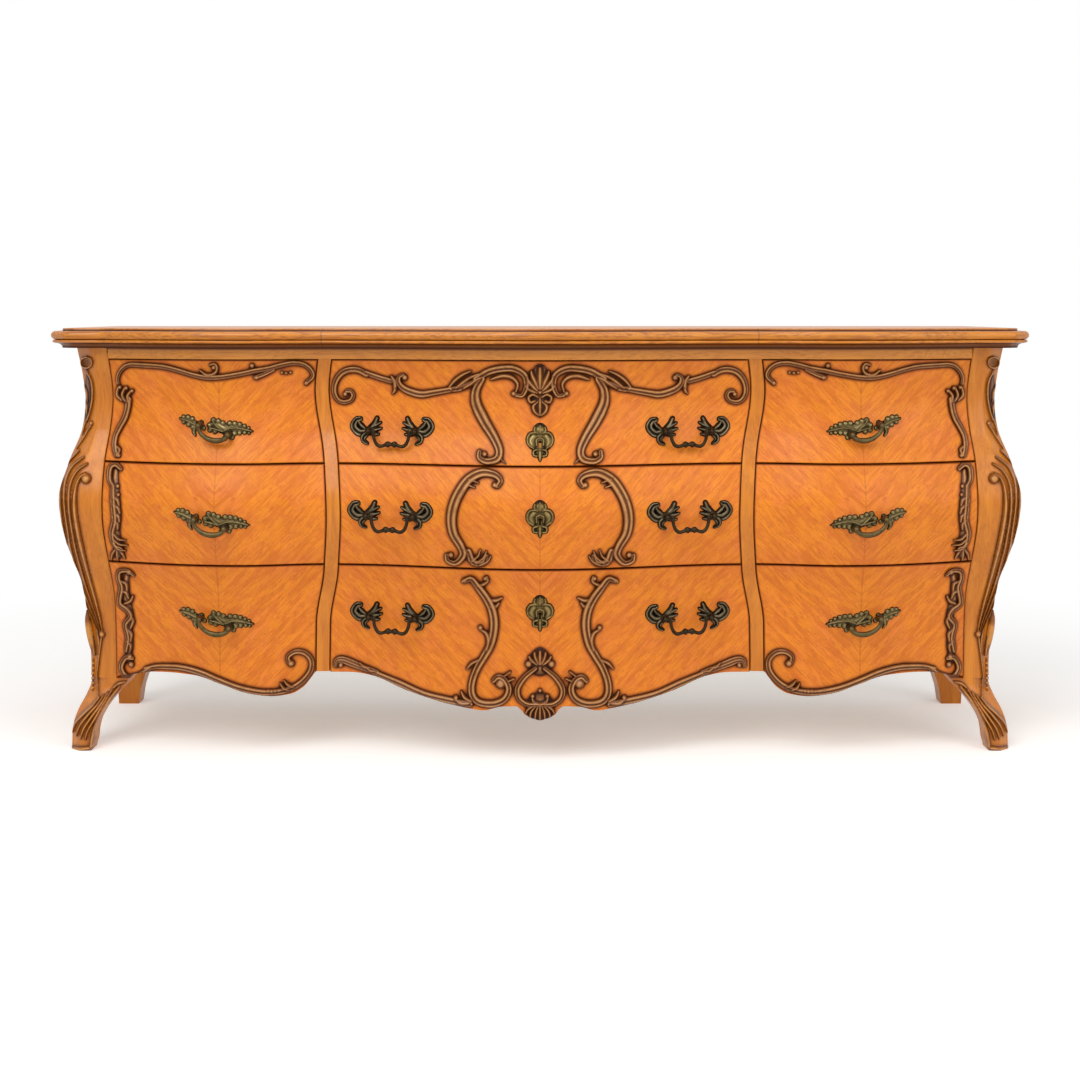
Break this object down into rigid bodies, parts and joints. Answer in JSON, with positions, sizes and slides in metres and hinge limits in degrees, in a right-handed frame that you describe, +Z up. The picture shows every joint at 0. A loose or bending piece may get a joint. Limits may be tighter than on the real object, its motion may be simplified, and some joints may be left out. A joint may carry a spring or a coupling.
{
  "type": "dresser",
  "caption": "Long serpentine, bombe-fronted dresser with carved scroll mouldings, canted corner posts on scrolled feet, swinging centre bails and leafy cast side pulls.",
  "frame": {"origin": "on the floor, under the middle of the overall width and depth", "axes": "+X to the right along the front as seen from the front, +Y from front to back, +Z up; the drawers open towards -Y"},
  "size_m": [1.9986, 0.6253, 0.86],
  "materials": {
    "front_veneer": "satin lacquer over book-matched cherry veneer, warm amber glaze",
    "case_veneer": "satin lacquer over plain honey-brown wood",
    "top_wood": "semi-gloss lacquer over amber-brown wood",
    "carved_wood": "antiqued carving, greyish tan with a dark glaze in the hollows",
    "inner_wood": "plain unpolished pale wood",
    "antique_brass": "cast antique brass, greenish, rubbed bright on the edges",
    "dark_bronze": "cast dark bronze, nearly black, rubbed grey on the edges",
    "escutcheon_brass": "cast antique brass"
  },
  "bodies": {
    "case": {"top_board": "top_wood", "top_edge_moulding": "top_wood", "front_left_post": "case_veneer", "front_right_post": "case_veneer", "rear_left_post": "case_veneer", "rear_right_post": "case_veneer", "left_side_panel": "case_veneer", "right_side_panel": "case_veneer", "frieze_rail": "case_veneer", "stiles": "case_veneer", "partitions": "inner_wood", "dust_boards": "inner_wood", "bottom_board": "inner_wood", "drawer_guides": "inner_wood", "back_panel": "inner_wood"},
    "top_left_drawer": {"top_left_drawer_front": "front_veneer", "top_left_drawer_carving": "carved_wood", "top_left_drawer_box": "inner_wood", "top_left_pull": "antique_brass"},
    "top_centre_drawer": {"top_centre_drawer_front": "front_veneer", "top_centre_drawer_carving": "carved_wood", "top_centre_drawer_box": "inner_wood", "top_centre_pull_mounts": "dark_bronze", "top_centre_escutcheon": "escutcheon_brass"},
    "top_right_drawer": {"top_right_drawer_front": "front_veneer", "top_right_drawer_carving": "carved_wood", "top_right_drawer_box": "inner_wood", "top_right_pull": "antique_brass"},
    "middle_left_drawer": {"middle_left_drawer_front": "front_veneer", "middle_left_drawer_carving": "carved_wood", "middle_left_drawer_box": "inner_wood", "middle_left_pull": "antique_brass"},
    "middle_centre_drawer": {"middle_centre_drawer_front": "front_veneer", "middle_centre_drawer_carving": "carved_wood", "middle_centre_drawer_box": "inner_wood", "middle_centre_pull_mounts": "dark_bronze", "middle_centre_escutcheon": "escutcheon_brass"},
    "middle_right_drawer": {"middle_right_drawer_front": "front_veneer", "middle_right_drawer_carving": "carved_wood", "middle_right_drawer_box": "inner_wood", "middle_right_pull": "antique_brass"},
    "bottom_left_drawer": {"bottom_left_drawer_front": "front_veneer", "bottom_left_drawer_carving": "carved_wood", "bottom_left_drawer_box": "inner_wood", "bottom_left_pull": "antique_brass"},
    "bottom_centre_drawer": {"bottom_centre_drawer_front": "front_veneer", "bottom_centre_drawer_carving": "carved_wood", "bottom_centre_drawer_box": "inner_wood", "bottom_centre_pull_mounts": "dark_bronze", "bottom_centre_escutcheon": "escutcheon_brass"},
    "bottom_right_drawer": {"bottom_right_drawer_front": "front_veneer", "bottom_right_drawer_carving": "carved_wood", "bottom_right_drawer_box": "inner_wood", "bottom_right_pull": "antique_brass"},
    "top_centre_bail_left": {"top_centre_bail_left": "dark_bronze"},
    "top_centre_bail_right": {"top_centre_bail_right": "dark_bronze"},
    "middle_centre_bail_left": {"middle_centre_bail_left": "dark_bronze"},
    "middle_centre_bail_right": {"middle_centre_bail_right": "dark_bronze"},
    "bottom_centre_bail_left": {"bottom_centre_bail_left": "dark_bronze"},
    "bottom_centre_bail_right": {"bottom_centre_bail_right": "dark_bronze"}
  },
  "joints": [
    {"name": "top_left_slide", "type": "slide", "parent": "case", "child": "top_left_drawer", "axis": [0, -1, 0], "range_m": [0, 0.35]},
    {"name": "top_centre_slide", "type": "slide", "parent": "case", "child": "top_centre_drawer", "axis": [0, -1, 0], "range_m": [0, 0.35]},
    {"name": "top_right_slide", "type": "slide", "parent": "case", "child": "top_right_drawer", "axis": [0, -1, 0], "range_m": [0, 0.35]},
    {"name": "middle_left_slide", "type": "slide", "parent": "case", "child": "middle_left_drawer", "axis": [0, -1, 0], "range_m": [0, 0.35]},
    {"name": "middle_centre_slide", "type": "slide", "parent": "case", "child": "middle_centre_drawer", "axis": [0, -1, 0], "range_m": [0, 0.35]},
    {"name": "middle_right_slide", "type": "slide", "parent": "case", "child": "middle_right_drawer", "axis": [0, -1, 0], "range_m": [0, 0.35]},
    {"name": "bottom_left_slide", "type": "slide", "parent": "case", "child": "bottom_left_drawer", "axis": [0, -1, 0], "range_m": [0, 0.35]},
    {"name": "bottom_centre_slide", "type": "slide", "parent": "case", "child": "bottom_centre_drawer", "axis": [0, -1, 0], "range_m": [0, 0.35]},
    {"name": "bottom_right_slide", "type": "slide", "parent": "case", "child": "bottom_right_drawer", "axis": [0, -1, 0], "range_m": [0, 0.35]},
    {"name": "top_centre_bail_left_hinge", "type": "hinge", "parent": "top_centre_drawer", "child": "top_centre_bail_left", "pos_m": [-0.297, -0.22161, 0.65448], "axis": [-0.975, 0.2223, 0], "range_deg": [0, 90]},
    {"name": "top_centre_bail_right_hinge", "type": "hinge", "parent": "top_centre_drawer", "child": "top_centre_bail_right", "pos_m": [0.297, -0.22161, 0.65448], "axis": [-0.975, -0.2223, 0], "range_deg": [0, 90]},
    {"name": "middle_centre_bail_left_hinge", "type": "hinge", "parent": "middle_centre_drawer", "child": "middle_centre_bail_left", "pos_m": [-0.297, -0.26815, 0.48992], "axis": [-0.975, 0.2223, 0], "range_deg": [0, 90]},
    {"name": "middle_centre_bail_right_hinge", "type": "hinge", "parent": "middle_centre_drawer", "child": "middle_centre_bail_right", "pos_m": [0.297, -0.26815, 0.48992], "axis": [-0.975, -0.2223, 0], "range_deg": [0, 90]},
    {"name": "bottom_centre_bail_left_hinge", "type": "hinge", "parent": "bottom_centre_drawer", "child": "bottom_centre_bail_left", "pos_m": [-0.297, -0.21361, 0.27996], "axis": [-0.975, 0.2223, 0], "range_deg": [0, 90]},
    {"name": "bottom_centre_bail_right_hinge", "type": "hinge", "parent": "bottom_centre_drawer", "child": "bottom_centre_bail_right", "pos_m": [0.297, -0.21361, 0.27996], "axis": [-0.975, -0.2223, 0], "range_deg": [0, 90]}
  ]
}
